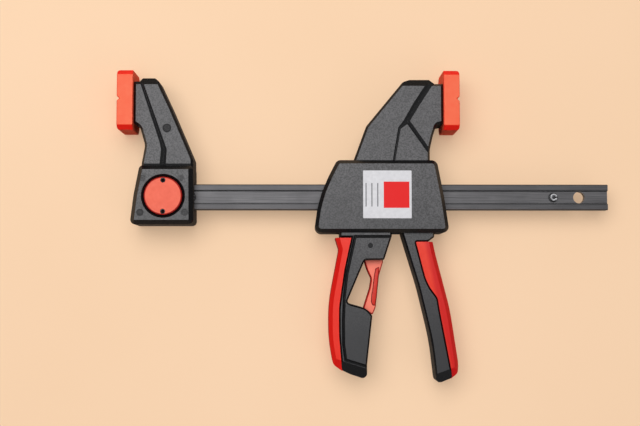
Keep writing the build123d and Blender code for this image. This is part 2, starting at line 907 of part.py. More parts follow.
def drive_plate(index):
    right = drive_face_x - index * (drive_plate_thickness + running_gap)
    low = -bar_half - drive_plate_below_bar
    high = bar_half + drive_plate_above_bar
    plate = block(right - drive_plate_thickness, right, low, high, drive_plate_half_width)
    return plate - bar_passage(-beyond, beyond, sliding_gap)


def drive_spring():
    outer = math.hypot(bar_half, bar_thickness / 2) + sliding_gap + drive_spring_wire
    left = seat_rib_x + rib_thickness / 2 + running_gap
    plates = 2 * drive_plate_thickness + running_gap
    right = drive_face_x - plates - running_gap
    spring = coil(outer - drive_spring_wire / 2, drive_spring_wire, right - left, drive_spring_turns)
    return Pos(left, 0, mid) * Rot(0, 90, 0) * spring


def brake_plate():
    reach = brake_fulcrum_y / math.cos(math.radians(brake_tilt))
    half = brake_thickness / 2
    slope = math.sin(math.radians(brake_tilt))
    window = (bar_half + brake_grip_gap + half * slope) / math.cos(math.radians(brake_tilt))
    shoulder = reach + bar_half + brake_shoulder
    tail = brake_fulcrum_y - brake_tail_y
    plate = Box(brake_thickness, shoulder + brake_head, 2 * brake_half_width)
    plate = Pos(0, (brake_head - shoulder) / 2) * plate
    plate += Pos(0, -tail / 2) * Box(brake_thickness, tail, 2 * brake_tail_half_width)
    hole = Box(2 * brake_thickness, 2 * window, bar_thickness + 2 * sliding_gap)
    plate -= Pos(0, -reach) * hole
    return Pos(brake_fulcrum_x, brake_fulcrum_y, mid) * Rot(0, 0, brake_tilt) * plate


def brake_left_face(y):
    # where the rear face of the tilted brake plate is at this height
    drop = brake_fulcrum_y - y
    tilt = math.radians(brake_tilt)
    return brake_fulcrum_x + drop * math.tan(tilt) - brake_thickness / 2 / math.cos(tilt)


def brake_spring_left():
    outer = brake_spring_radius + brake_spring_wire / 2
    return brake_left_face(brake_spring_y + outer) - running_gap - brake_spring_length


def brake_spring():
    spring = coil(brake_spring_radius, brake_spring_wire, brake_spring_length, brake_spring_turns)
    return Pos(brake_spring_left(), brake_spring_y, mid) * Rot(0, 90, 0) * spring


# Release trigger

trigger_points = [
    (-12.4, -20.4),
    (-9.75, -28.5),
    (-6.9, -34.5),
    (-8.2, -42.0),
    (-13.0, -56.9),
    (-6.1, -61.9),
    (-3.6, -56.0),
    (-2.4, -43.0),
    (-1.2, -32.5),
    (2.0, -21.8),
    (1.6, -17.5),
]
trigger_radii = [0, 20.0, 5.0, 15.0, 2.0, 1.2, 10.0, 30.0, 12.0, 2.0, 3.0]


def release_trigger():
    hub_y = -trigger_pin_depth
    reach = trigger_hub_radius - trigger_neck_inset
    neck = [(trigger_pin_x + reach, hub_y), (trigger_pin_x, hub_y + 1), (trigger_pin_x - reach, hub_y)]
    points = raised(trigger_points + neck, housing_bottom)
    outline = rounded(points, trigger_radii + [0, 0, 0])
    blade = bevelled(slab(outline, trigger_half_width), trigger_bevel)
    round_hub = Pos(trigger_pin_x, trigger_pin_y) * Circle(trigger_hub_radius)
    hub = slab(round_hub, trigger_half_width + trigger_hub_side)
    bore = trigger_pin_radius + running_gap
    return blade + hub - post(trigger_pin_x, trigger_pin_y, 0, 2 * mid, bore)


def trigger_pin():
    high = mid + handle_thickness / 2 - trigger_pin_sunk
    return post(trigger_pin_x, trigger_pin_y, trigger_pin_low, high, trigger_pin_radius)


housing_front, housing_rear = housing_shells()
pieces = {
    "bar": bar(),
    "stop_pins": stop_pins(),
    "fixed_jaw": fixed_jaw(),
    "fixed_jaw_pad": pad(fixed_pad_face, fixed_pad_y, -1),
    "lock_button": lock_button(),
    "lock_screws": lock_screws(),
    "lock_yoke": lock_yoke(),
    "lock_pin": lock_pin(),
    "lock_spring": lock_spring(),
    "housing_front": housing_front,
    "housing_rear": housing_rear,
    "housing_screws": housing_screws(),
    "moving_jaw_pad": pad(moving_pad_face, moving_pad_y, 1),
    "handle_grip": handle_grip(),
    "drive_lever": drive_lever(),
    "lever_grip": lever_grip(),
    "lever_pin": lever_pin(),
    "drive_plate_a": drive_plate(0),
    "drive_plate_b": drive_plate(1),
    "drive_spring": drive_spring(),
    "brake_plate": brake_plate(),
    "brake_spring": brake_spring(),
    "release_trigger": release_trigger(),
    "trigger_pin": trigger_pin(),
}

os.makedirs("parts", exist_ok=True)
for name, shape in pieces.items():
    export_step(shape, f"parts/{name}.step")
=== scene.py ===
import bmesh
import bpy
import math
from mathutils import Matrix, Vector


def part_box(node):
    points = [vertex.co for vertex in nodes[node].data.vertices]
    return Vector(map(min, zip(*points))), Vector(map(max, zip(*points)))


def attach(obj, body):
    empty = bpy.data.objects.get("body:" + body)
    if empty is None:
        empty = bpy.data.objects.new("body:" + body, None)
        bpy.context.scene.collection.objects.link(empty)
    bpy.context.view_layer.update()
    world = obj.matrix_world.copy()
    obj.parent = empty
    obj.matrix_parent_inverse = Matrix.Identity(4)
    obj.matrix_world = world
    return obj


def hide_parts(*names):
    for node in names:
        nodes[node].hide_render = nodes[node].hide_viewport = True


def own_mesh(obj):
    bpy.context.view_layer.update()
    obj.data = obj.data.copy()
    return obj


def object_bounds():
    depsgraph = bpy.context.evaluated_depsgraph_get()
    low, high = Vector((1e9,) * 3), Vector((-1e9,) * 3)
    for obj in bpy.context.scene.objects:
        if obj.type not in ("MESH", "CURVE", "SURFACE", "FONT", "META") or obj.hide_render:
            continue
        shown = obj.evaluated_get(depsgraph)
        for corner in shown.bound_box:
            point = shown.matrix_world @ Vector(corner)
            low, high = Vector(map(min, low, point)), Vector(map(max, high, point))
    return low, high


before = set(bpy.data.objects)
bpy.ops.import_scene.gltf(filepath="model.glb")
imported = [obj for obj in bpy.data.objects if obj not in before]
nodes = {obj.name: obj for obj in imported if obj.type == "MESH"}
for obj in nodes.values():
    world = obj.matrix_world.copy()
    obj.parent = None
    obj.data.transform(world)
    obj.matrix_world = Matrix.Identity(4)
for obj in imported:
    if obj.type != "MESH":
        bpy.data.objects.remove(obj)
cadLow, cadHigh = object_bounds()
mm = 0.001  # sizes are in mm, but bump heights, the floor, the lamps and the camera are in metres
shellPlane = 18.0  # the height at which the two shells of the carriage meet
print("frame loaded:", len(nodes), "CAD nodes")


# small node helpers that every finish is put together from
def addNode(tree, kind, sockets=None, **settings):
    node = tree.nodes.new("ShaderNode" + kind)
    for key, value in settings.items():
        setattr(node, key, value)
    for key, value in (sockets or {}).items():
        if isinstance(value, bpy.types.NodeSocket):
            tree.links.new(value, node.inputs[key])
        else:
            node.inputs[key].default_value = value
    return node


def startMaterial(name, shaderValues):
    mat = bpy.data.materials.new(name)
    mat.use_nodes = True
    tree = mat.node_tree
    shader = tree.nodes["Principled BSDF"]
    for key, value in shaderValues.items():
        shader.inputs[key].default_value = value
    coords = addNode(tree, "TexCoord")
    return mat, tree, shader, coords


def noise(tree, place, scale, detail=2.0, rough=0.5):
    sockets = {"Vector": place, "Scale": scale, "Detail": detail, "Roughness": rough}
    return addNode(tree, "TexNoise", sockets).outputs["Fac"]


def stretched(tree, place, scale):
    return addNode(tree, "Mapping", {"Vector": place, "Scale": scale}).outputs["Vector"]


def remap(tree, value, low, high, toLow, toHigh):
    sockets = {"Value": value, "From Min": low, "From Max": high}
    sockets.update({"To Min": toLow, "To Max": toHigh})
    return addNode(tree, "MapRange", sockets).outputs["Result"]


def maths(tree, operation, first, second=0.0):
    return addNode(tree, "Math", {0: first, 1: second}, operation=operation).outputs[0]


def times(tree, first, second):
    return maths(tree, "MULTIPLY", first, second)


def plus(tree, first, second):
    return maths(tree, "ADD", first, second)


def vectorMaths(tree, operation, first, second=(0, 0, 0), output="Vector"):
    sockets = {0: first, 1: second}
    return addNode(tree, "VectorMath", sockets, operation=operation).outputs[output]


def mixColour(tree, factor, first, second):
    sockets = {"Factor": factor, 6: first, 7: second}
    return addNode(tree, "Mix", sockets, data_type="RGBA").outputs[2]


def bumpFrom(tree, height, strength, distance, normal=None):
    sockets = {"Height": height, "Strength": strength, "Distance": distance}
    if normal is not None:
        sockets["Normal"] = normal
    return addNode(tree, "Bump", sockets).outputs["Normal"]


def axisOf(tree, vector, axis):
    return addNode(tree, "SeparateXYZ", {0: vector}).outputs[axis]


def facing(tree, coords, axis):
    # 1 on a face that looks straight along this axis, either way
    return maths(tree, "ABSOLUTE", axisOf(tree, coords.outputs["Normal"], axis))


def band(tree, value, low, high, soft):
    # 1 between two places on a line, falling to 0 over a soft edge outside them
    rise = remap(tree, value, (low - soft) * mm, low * mm, 0, 1)
    return times(tree, rise, remap(tree, value, high * mm, (high + soft) * mm, 1, 0))


def disc(tree, place, spot, radius, soft):
    # 1 inside a circle in plan
    away = vectorMaths(tree, "SUBTRACT", place, (spot[0] * mm, spot[1] * mm, 0))
    inPlan = vectorMaths(tree, "MULTIPLY", away, (1, 1, 0))
    far = vectorMaths(tree, "LENGTH", inPlan, output="Value")
    return remap(tree, far, (radius - soft) * mm, radius * mm, 1, 0)


def wearAndSheenEdge(tree, radius, low, high, most):
    # rises where the surface turns within this radius
    rounded = addNode(tree, "Bevel", {"Radius": radius * mm}, samples=4).outputs["Normal"]
    straight = addNode(tree, "NewGeometry").outputs["Normal"]
    bend = vectorMaths(tree, "DOT_PRODUCT", rounded, straight, output="Value")
    return remap(tree, bend, low, high, most, 0)


def join(tree, colour, rough, normal, shader):
    tree.links.new(colour, shader.inputs["Base Color"])
    tree.links.new(rough, shader.inputs["Roughness"])
    tree.links.new(normal, shader.inputs["Normal"])


# spark-grained black plastic: grey grained flats, smooth black slopes, dull walls; the grey of the
# flats against the black slopes is partly the grain and partly painted light on the tops
plastic = {
    "flatColour": (0.016, 0.015, 0.016, 1),
    "speckColour": (0.125, 0.120, 0.125, 1),
    "slopeColour": (0.005, 0.005, 0.0055, 1),
    "wallColour": (0.0075, 0.0072, 0.0075, 1),
    "specular": 0.45,
    "speckScale": 900,
    "cloudScale": 60,
    "grainScale": 2600,
    "grainHeight": 0.00006,  # in metres, as in every finish
    "grainStrength": 0.8,
    "wallGrain": 0.6,  # the walls' share of that grain
    "flatRough": 0.42,
    "slopeRough": 0.24,
    "wallRough": 0.92,
    "mouldLine": 0.16,  # half the width of the line where the mould parts
    "lineColour": (0.060, 0.052, 0.044, 1),
    "edgeWearAndSheenColour": (0.125, 0.120, 0.122, 1),
    "edgeWearAndSheenRadius": 0.35,
    "edgeWearAndSheen": 0.6,  # how far the edges are paled: partly edge wear, partly a painted highlight along them
    "lowEndShadeColour": (0.013, 0.013, 0.015, 1),
    "lowEndShadeFrom": 15.0,  # painted shade: the plastic is painted darker from here to there, along Y, where the light falls off towards the ends of the handles
    "lowEndShadeTo": -105.0,
    "dulled": 0.5,  # the roughness that an ejector mark or the painted step shade adds
}
ejector = {  # x, y, radius and darkness of each round mark on the fixed head and its arm
    "marks": [(-161.4, 51.6, 3.4, 0.9), (-180.6, -12.4, 2.8, 0.65), (-147.2, -12.4, 2.8, 0.5),
              (-179.0, 13.4, 2.6, 0.35), (-150.4, 13.4, 2.6, 0.35)],
    "rim": 0.7,  # a mark is darkest over this width
    "paleMiddle": 0.3,
}
headStepShade = (20.5, 24.5)  # painted shade: the arm's flat above the fixed head's step is painted dark between these, along Y, widening the step's shade


def ejectorMark(tree, place, x, y, radius, depth):
    whole = disc(tree, place, (x, y), radius, 0.25)
    core = disc(tree, place, (x, y), radius - ejector["rim"], 0.3)
    ringed = maths(tree, "SUBTRACT", whole, times(tree, core, ejector["paleMiddle"]))
    return times(tree, ringed, depth)


def mouldedPlastic(name, marks=(), stepShade=None):
    mat, tree, shader, coords = startMaterial(name, {"Specular IOR Level": plastic["specular"]})
    place = coords.outputs["Object"]
    along = axisOf(tree, place, "Y")
    upright = facing(tree, coords, "Z")
    flat = remap(tree, upright, 0.955, 0.99, 0, 1)
    wall = remap(tree, upright, 0.1, 0.3, 1, 0)
    speck = noise(tree, place, plastic["speckScale"], 3, 0.7)
    cloud = noise(tree, place, plastic["cloudScale"], 2)

    specks = remap(tree, speck, 0.40, 0.60, 0.1, 0.9)
    face = mixColour(tree, specks, plastic["flatColour"], plastic["speckColour"])
    clouds = remap(tree, cloud, 0.3, 0.7, 0, 0.2)
    face = mixColour(tree, clouds, face, plastic["slopeColour"])
    # painted shade darkening the plastic towards the ends of the handles
    start, end = plastic["lowEndShadeFrom"] * mm, plastic["lowEndShadeTo"] * mm
    lowEndShade = remap(tree, along, start, end, 0.05, 0.92)
    face = mixColour(tree, lowEndShade, face, plastic["lowEndShadeColour"])
    flatRough = plastic["flatRough"]
    shades = [ejectorMark(tree, place, *mark) for mark in marks]
    # painted shade along the step above the fixed head
    if stepShade is not None:
        shades.append(band(tree, along, stepShade[0], stepShade[1], 0.3))
    for shade in shades:
        face = mixColour(tree, shade, face, plastic["slopeColour"])
        flatRough = plus(tree, flatRough, times(tree, shade, plastic["dulled"]))

    sideSpecks = remap(tree, speck, 0.35, 0.65, 0, 0.25)
    side = mixColour(tree, sideSpecks, plastic["wallColour"], plastic["flatColour"])
    half = plastic["mouldLine"]
    line = band(tree, axisOf(tree, place, "Z"), shellPlane - half, shellPlane + half, 0.1)
    side = mixColour(tree, line, side, plastic["lineColour"])
    colour = mixColour(tree, wall, plastic["slopeColour"], side)
    colour = mixColour(tree, flat, colour, face)
    # painted highlight with some wear: the flats are paled along their edges
    edgeWearAndSheen = wearAndSheenEdge(tree, plastic["edgeWearAndSheenRadius"], 0.88, 0.985, plastic["edgeWearAndSheen"])
    colour = mixColour(tree, times(tree, edgeWearAndSheen, flat), colour, plastic["edgeWearAndSheenColour"])

    rough = remap(tree, flat, 0, 1, plastic["slopeRough"], flatRough)
    duller = plastic["wallRough"] - plastic["slopeRough"]
    rough = plus(tree, rough, remap(tree, wall, 0, 1, 0, duller))
    rough = plus(tree, rough, remap(tree, speck, 0.3, 0.7, -0.05, 0.05))
    grained = maths(tree, "MAXIMUM", flat, times(tree, wall, plastic["wallGrain"]))
    strength = times(tree, grained, plastic["grainStrength"])
    grain = noise(tree, place, plastic["grainScale"], 2)
    join(tree, colour, rough, bumpFrom(tree, grain, strength, plastic["grainHeight"]), shader)
    return mat


# red pieces: a satin flat painted lighter as lit, slopes and walls painted deeper as in shade, each
# piece with its own grain
reds = {
    "pad": {
        "flat": (0.94, 0.155, 0.064, 1), "slope": (0.90, 0.012, 0.004, 1),
        "wall": (0.97, 0.105, 0.040, 1), "flatRough": 0.50, "slopeRough": 0.38,
        "grainScale": 1500, "grainHeight": 0.00005, "gloss": 0.25,
    },
    "handleGrip": {
        "flat": (0.84, 0.026, 0.010, 1), "slope": (0.70, 0.007, 0.004, 1),
        "wall": (0.36, 0.006, 0.005, 1), "flatRough": 0.38, "slopeRough": 0.32,
        "grainScale": 2400, "grainHeight": 0.00003, "gloss": 0.20,
    },
    "leverGrip": {
        "flat": (0.84, 0.048, 0.022, 1), "slope": (0.60, 0.005, 0.006, 1),
        "wall": (0.36, 0.005, 0.006, 1), "flatRough": 0.40, "slopeRough": 0.34,
        "grainScale": 2400, "grainHeight": 0.00003, "gloss": 0.20,
    },
    # painted light: the trigger's flat is painted lighter and pinker, to look lit though the
    # handle's walls shade it
    "trigger": {
        "flat": (0.99, 0.225, 0.142, 1), "slope": (0.50, 0.016, 0.010, 1),
        "wall": (0.50, 0.018, 0.011, 1), "flatRough": 0.42, "slopeRough": 0.32,
        "grainScale": 1800, "grainHeight": 0.00004, "gloss": 0.30,
    },
    "rail": {
        "flat": (0.68, 0.030, 0.014, 1), "slope": (0.16, 0.004, 0.003, 1),
        "wall": (0.50, 0.014, 0.009, 1), "flatRough": 0.44, "slopeRough": 0.30,
        "grainScale": 1800, "grainHeight": 0.00002, "gloss": 0.25,
    },
    "button": {
        "flat": (0.92, 0.140, 0.070, 1), "slope": (0.45, 0.012, 0.007, 1),
        "wall": (0.25, 0.006, 0.004, 1), "flatRough": 0.48, "slopeRough": 0.32,
        "grainScale": 1500, "grainHeight": 0.00004, "gloss": 0.35,
    },
}
redWallRough = 0.85  # the walls of the red pieces are duller than their slopes
padRibs = {  # fine ribs on the lower and upper walls of a pad, with painted shade in their grooves
    "pitch": 1.1, "height": 0.00025, "strength": 0.7,
    "groove": 0.5, "grooveColour": (0.10, 0.006, 0.004, 1),
}
leverGripOuterShade = {  # painted shade: the lever's grip is painted deeper from here to there, in this direction, where its outer side rounds away from the light
    "outward": (0.979, 0.201, 0), "from": 24.2, "to": 27.2, "most": 0.85,
}
buttonRingShade = {  # painted shade: a dark ring painted on the button's face, standing for the shade in the gap round it
    "at": (-163.5, 0.0), "inner": 13.45, "outer": 13.95, "soft": 0.15,
    "most": 0.85, "colour": (0.03, 0.004, 0.003, 1),
}


def redPlastic(name, finish, ribs=None, ringShade=None, outerShade=None):
    mat, tree, shader, coords = startMaterial(name, {"Specular IOR Level": finish["gloss"]})
    place = coords.outputs["Object"]
    upright = facing(tree, coords, "Z")
    flat = remap(tree, upright, 0.86, 0.985, 0, 1)
    wall = remap(tree, upright, 0.1, 0.35, 1, 0)
    mottle = noise(tree, place, 260, 4, 0.65)
    patch = noise(tree, place, 70, 2)
    face = mixColour(tree, remap(tree, mottle, 0.3, 0.7, 0, 0.14), finish["flat"], finish["slope"])
    face = mixColour(tree, remap(tree, patch, 0.35, 0.7, 0, 0.10), face, finish["slope"])
    colour = mixColour(tree, wall, finish["slope"], finish["wall"])
    rough = remap(tree, flat, 0, 1, finish["slopeRough"], finish["flatRough"])
    rough = plus(tree, rough, remap(tree, wall, 0, 1, 0, redWallRough - finish["slopeRough"]))
    rough = plus(tree, rough, remap(tree, mottle, 0.3, 0.7, -0.04, 0.06))
    grain = noise(tree, place, finish["grainScale"], 2)
    normal = bumpFrom(tree, grain, 0.5, finish["grainHeight"])
    if ribs is not None:
        across = axisOf(tree, place, "X")
        wave = maths(tree, "SINE", times(tree, across, 2 * math.pi / (ribs["pitch"] * mm)))
        ends = remap(tree, facing(tree, coords, "Y"), 0.85, 0.97, 0, 1)
        groove = times(tree, remap(tree, wave, -1, 0.2, 1, 0), ends)
        # painted shade in the ribs' grooves
        colour = mixColour(tree, times(tree, groove, ribs["groove"]), colour, ribs["grooveColour"])
        normal = bumpFrom(tree, times(tree, wave, ends), ribs["strength"], ribs["height"], normal)
    # painted shade on the outer side of the grip
    if outerShade is not None:
        outward = vectorMaths(tree, "DOT_PRODUCT", place, outerShade["outward"], output="Value")
        start, end = outerShade["from"] * mm, outerShade["to"] * mm
        outerShaded = remap(tree, outward, start, end, 0, outerShade["most"])
        face = mixColour(tree, outerShaded, face, finish["slope"])
    # painted shade: a dark ring on the button's face
    if ringShade is not None:
        whole = disc(tree, place, ringShade["at"], ringShade["outer"], ringShade["soft"])
        core = disc(tree, place, ringShade["at"], ringShade["inner"], ringShade["soft"])
        dark = times(tree, maths(tree, "SUBTRACT", whole, core), ringShade["most"])
        face = mixColour(tree, dark, face, ringShade["colour"])
    join(tree, mixColour(tree, flat, colour, face), rough, normal, shader)
    return mat


# drawn and stamped steels
steels = {
    "bar": {
        "light": (0.140, 0.136, 0.140, 1), "dark": (0.052, 0.050, 0.053, 1),
        "rough": 0.44, "metal": 0.55, "streak": (26, 1400, 1400), "worn": 0.25,
    },
    "pin": {
        "light": (0.33, 0.33, 0.34, 1), "dark": (0.12, 0.12, 0.125, 1),
        "rough": 0.32, "metal": 0.9, "streak": (600, 600, 60), "worn": 0.4,
    },
    "plate": {
        "light": (0.40, 0.40, 0.41, 1), "dark": (0.20, 0.20, 0.20, 1),
        "rough": 0.40, "metal": 0.9, "streak": (1500, 60, 60), "worn": 0.0,
    },
    "spring": {
        "light": (0.35, 0.35, 0.36, 1), "dark": (0.14, 0.14, 0.145, 1),
        "rough": 0.30, "metal": 0.9, "streak": (400, 400, 400), "worn": 0.0,
    },
    "stopPin": {
        "light": (0.46, 0.46, 0.47, 1), "dark": (0.20, 0.20, 0.205, 1),
        "rough": 0.34, "metal": 0.85, "streak": (500, 500, 500), "worn": 0.5,
    },
    "screw": {
        "light": (0.045, 0.045, 0.048, 1), "dark": (0.012, 0.012, 0.013, 1),
        "rough": 0.36, "metal": 0.8, "streak": (700, 700, 700), "worn": 0.5,
    },
    "blackPin": {
        "light": (0.014, 0.014, 0.015, 1), "dark": (0.005, 0.005, 0.006, 1),
        "rough": 0.70, "metal": 0.2, "streak": (700, 700, 700), "worn": 0.12,
    },
}
wornSteel = (0.42, 0.42, 0.43, 1)
pinHoles = [(132.5, 0.0), (-143.6, 0.0)]  # where the two stop pins cross the bar
barSection = {
    "corner": (4.7, 5.3), "cornerSoft": 0.7,  # the corner between web and flange, from the middle, where shade is painted
    "cornerShade": 0.8, "cornerShadeColour": (0.008, 0.008, 0.009, 1),
    "flangeShade": 0.45, "flangeSoft": 0.4,
    "holeRadius": 3.9, "holeSoft": 0.5, "holeShade": 0.9, "holeShadeColour": (0.006, 0.006, 0.007, 1),
}


def shadeBar(tree, place, colour, finish, section):
    # painted shade: the rolled corners, the flanges and the surroundings of the pins are painted
    # darker, as in shade
    low, high = section["corner"]
    away = maths(tree, "ABSOLUTE", axisOf(tree, place, "Y"))
    deep = times(tree, band(tree, away, low, high, section["cornerSoft"]), section["cornerShade"])
    colour = mixColour(tree, deep, colour, section["cornerShadeColour"])
    outer = (high + section["flangeSoft"]) * mm
    flange = remap(tree, away, high * mm, outer, 0, section["flangeShade"])
    colour = mixColour(tree, flange, colour, finish["dark"])
    for spot in pinHoles:
        sunk = disc(tree, place, spot, section["holeRadius"], section["holeSoft"])
        sunk = times(tree, sunk, section["holeShade"])
        colour = mixColour(tree, sunk, colour, section["holeShadeColour"])
    return colour


def drawnSteel(name, finish, section=None):
    mat, tree, shader, coords = startMaterial(name, {"Metallic": finish["metal"]})
    place = coords.outputs["Object"]
    lines = noise(tree, stretched(tree, place, finish["streak"]), 1.0, 3, 0.6)
    stains = noise(tree, place, 45, 4, 0.6)
    colour = mixColour(tree, remap(tree, lines, 0.3, 0.7, 0, 1), finish["dark"], finish["light"])
    colour = mixColour(tree, remap(tree, stains, 0.45, 0.75, 0, 0.5), colour, finish["dark"])
    if section is not None:
        colour = shadeBar(tree, place, colour, finish, section)
    if finish["worn"]:
        edge = wearAndSheenEdge(tree, 0.4, 0.86, 0.99, finish["worn"])
        colour = mixColour(tree, edge, colour, wornSteel)
    rough = remap(tree, lines, 0.2, 0.8, finish["rough"] - 0.06, finish["rough"] + 0.08)
    join(tree, colour, rough, bumpFrom(tree, lines, 0.35, 0.00002), shader)
    return mat


materials = {
    "body": mouldedPlastic("mouldedBlack"),
    "fixedJaw": mouldedPlastic("fixedJawBlack", ejector["marks"], headStepShade),
    "pad": redPlastic("padRed", reds["pad"], ribs=padRibs),
    "handleGrip": redPlastic("handleGripRed", reds["handleGrip"]),
    "leverGrip": redPlastic("leverGripRed", reds["leverGrip"], outerShade=leverGripOuterShade),
    "trigger": redPlastic("triggerRed", reds["trigger"]),
    "rail": redPlastic("fingerRailRed", reds["rail"]),
    "button": redPlastic("buttonRed", reds["button"], ringShade=buttonRingShade),
    "bar": drawnSteel("barSteel", steels["bar"], barSection),
    "pin": drawnSteel("pinSteel", steels["pin"]),
    "plate": drawnSteel("plateSteel", steels["plate"]),
    "spring": drawnSteel("springSteel", steels["spring"]),
    "screw": drawnSteel("blackScrew", steels["screw"]),
    "blackPin": drawnSteel("blackPin", steels["blackPin"]),
    "stopPin": drawnSteel("stopPinSteel", steels["stopPin"]),
}
print("materials made:", len(materials))

# each CAD node's finish, how far its edges are rounded, and in how many steps
nodeFinish = {
    "housing_front": ("body", 0.35, 2),
    "housing_rear": ("body", 0.35, 2),
    "fixed_jaw": ("fixedJaw", 0.35, 2),
    "drive_lever": ("body", 0.30, 2),
    "moving_jaw_pad": ("pad", 0.55, 3),
    "fixed_jaw_pad": ("pad", 0.55, 3),
    "handle_grip": ("handleGrip", 2.2, 6),
    "lever_grip": ("leverGrip", 1.4, 5),
    "release_trigger": ("trigger", 0.30, 2),
    "lock_button": ("button", 0.20, 2),
    "bar": ("bar", 0.20, 2),
    "stop_pins": ("stopPin", 0.25, 2),
    "trigger_pin": ("blackPin", 0.30, 2),
    "lever_pin": ("pin", 0.30, 2),
    "lock_pin": ("pin", 0, 0),
    "lock_yoke": ("plate", 0.20, 2),
    "drive_plate_a": ("plate", 0.20, 2),
    "drive_plate_b": ("plate", 0.20, 2),
    "brake_plate": ("plate", 0.20, 2),
    "drive_spring": ("spring", 0, 0),
    "brake_spring": ("spring", 0, 0),
    "lock_spring": ("spring", 0, 0),
    "lock_screws": ("screw", 0, 0),
    "housing_screws": ("screw", 0, 0),
}
softFinishes = ("handleGrip", "leverGrip")  # these keep a round look right across their slopes
edges = {"weld": 0.002, "flatAngle": 0.6, "sharpAngle": 25, "evenWeight": 50}  # angles in degrees


def finishNode(name, finish, rounding, steps):
    piece = nodes[name]
    piece.data.materials.clear()
    piece.data.materials.append(materials[finish])
    if not rounding:
        return
    weld = piece.modifiers.new("weld", "WELD")
    weld.merge_threshold = edges["weld"] * mm
    flatten = piece.modifiers.new("flatten", "DECIMATE")
    flatten.decimate_type = "DISSOLVE"
    flatten.angle_limit = math.radians(edges["flatAngle"])
    bevel = piece.modifiers.new("round", "BEVEL")
    bevel.width = rounding * mm
    bevel.segments = steps
    bevel.limit_method = "ANGLE"
    bevel.angle_limit = math.radians(edges["sharpAngle"])
    piece.data.shade_smooth()
    if finish in softFinishes:
        bevel.harden_normals = True
        return
    even = piece.modifiers.new("even", "WEIGHTED_NORMAL")
    even.mode = "FACE_AREA"
    even.weight = edges["evenWeight"]


for nodeName, (finishName, rounding, steps) in nodeFinish.items():
    finishNode(nodeName, finishName, rounding, steps)
print("CAD nodes finished")


# mesh helpers for the new pieces
smoothAngle = 32  # degrees, above which an edge of a new piece stays sharp


def addToScene(name, data):
    made = bpy.data.objects.new(name, data)
    bpy.context.scene.collection.objects.link(made)
    return made


def asPiece(name, bm, mat, body, smooth=False):
    mesh = bpy.data.meshes.new(name)
    bmesh.ops.recalc_face_normals(bm, faces=bm.faces)
    bm.to_mesh(mesh)
    bm.free()
    piece = addToScene(name, mesh)
    mesh.materials.append(mat)
    if smooth:
        mesh.shade_smooth()
        mesh.set_sharp_from_angle(angle=math.radians(smoothAngle))
    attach(piece, body)
    return piece


def pointsOf(made):
    return [part for part in made["geom"] if isinstance(part, bmesh.types.BMVert)]


def everything(bm):
    return bm.verts[:] + bm.edges[:] + bm.faces[:]


def roundOff(bm, geom, width, segments=3, affect="EDGES"):
    bmesh.ops.bevel(bm, geom=geom, offset=width * mm, segments=segments, profile=0.5,
                    affect=affect, material=-1)


def thicken(bm, height):
    grown = bmesh.ops.extrude_face_region(bm, geom=bm.faces[:])
    bmesh.ops.translate(bm, vec=(0, 0, height * mm), verts=pointsOf(grown))


def turn(bm, angle, axis):
    bmesh.ops.rotate(bm, cent=(0, 0, 0), matrix=Matrix.Rotation(angle, 3, axis), verts=bm.verts)


# label film on the front of the carriage: a plain red block and three grey lines on white
label = {
    "left": -13.5, "right": 22.9, "bottom": -16.8, "top": 19.1,
    "corner": 0.5, "thickness": 0.12, "sunk": 0.02,  # it starts just inside the shell's face
    "blockLeft": 2.0, "blockRight": 21.2, "blockLow": -9.0, "blockHigh": 10.7,
    "lines": (-11.3, -6.9, -2.5), "lineHalf": 0.35, "lineLow": -8.0, "lineHigh": 9.6,
    "inkEdge": 0.06, "specular": 0.15,
    "white": (0.66, 0.65, 0.67, 1), "paleWhite": (0.74, 0.73, 0.75, 1),
    "red": (0.80, 0.012, 0.012, 1), "grey": (0.16, 0.16, 0.17, 1),
}


def inkPatch(tree, place, left, right, low, high):
    across = band(tree, axisOf(tree, place, "X"), left, right, label["inkEdge"])
    return times(tree, across, band(tree, axisOf(tree, place, "Y"), low, high, label["inkEdge"]))


def labelFilm():
    shine = {"Specular IOR Level": label["specular"]}
    mat, tree, shader, coords = startMaterial("labelFilm", shine)
    place = coords.outputs["Object"]
    paper = noise(tree, place, 400, 3)
    colour = mixColour(tree, remap(tree, paper, 0.3, 0.7, 0, 1), label["white"], label["paleWhite"])
    block = inkPatch(tree, place, label["blockLeft"], label["blockRight"],
                     label["blockLow"], label["blockHigh"])
    colour = mixColour(tree, block, colour, label["red"])
    for at in label["lines"]:
        line = inkPatch(tree, place, at - label["lineHalf"], at + label["lineHalf"],
                        label["lineLow"], label["lineHigh"])
        colour = mixColour(tree, line, colour, label["grey"])
    rough = remap(tree, paper, 0, 1, 0.38, 0.48)
    join(tree, colour, rough, bumpFrom(tree, paper, 0.1, 0.00002), shader)
    return mat


def makeLabel():
    bm = bmesh.new()
    bmesh.ops.create_grid(bm, x_segments=1, y_segments=1, size=0.5)
    size = Vector((label["right"] - label["left"], label["top"] - label["bottom"], 1)) * mm
    bmesh.ops.scale(bm, vec=size, verts=bm.verts)
    roundOff(bm, bm.verts[:], label["corner"], segments=4, affect="VERTICES")
    middle = Vector((label["left"] + label["right"], label["bottom"] + label["top"], 0)) * mm / 2
    middle.z = cadHigh.z - label["sunk"] * mm
    bmesh.ops.translate(bm, vec=middle, verts=bm.verts)
    thicken(bm, label["thickness"] + label["sunk"])
    return asPiece("label", bm, labelFilm(), "carriage")


# finger rail along the front of the trigger, a little proud of its broad faces
fingerRail = {
    "outline": [(-0.6, -52.6), (-4.0, -54.2), (-5.1, -60.1), (-6.2, -69.8), (-7.0, -73.6),
                (-7.4, -79.2), (-6.2, -82.3), (-3.8, -82.3), (-2.8, -76.0), (-2.2, -70.0),
                (-1.3, -61.0)],
    "middle": 18.0, "half": 7.6, "round": 0.95,
}


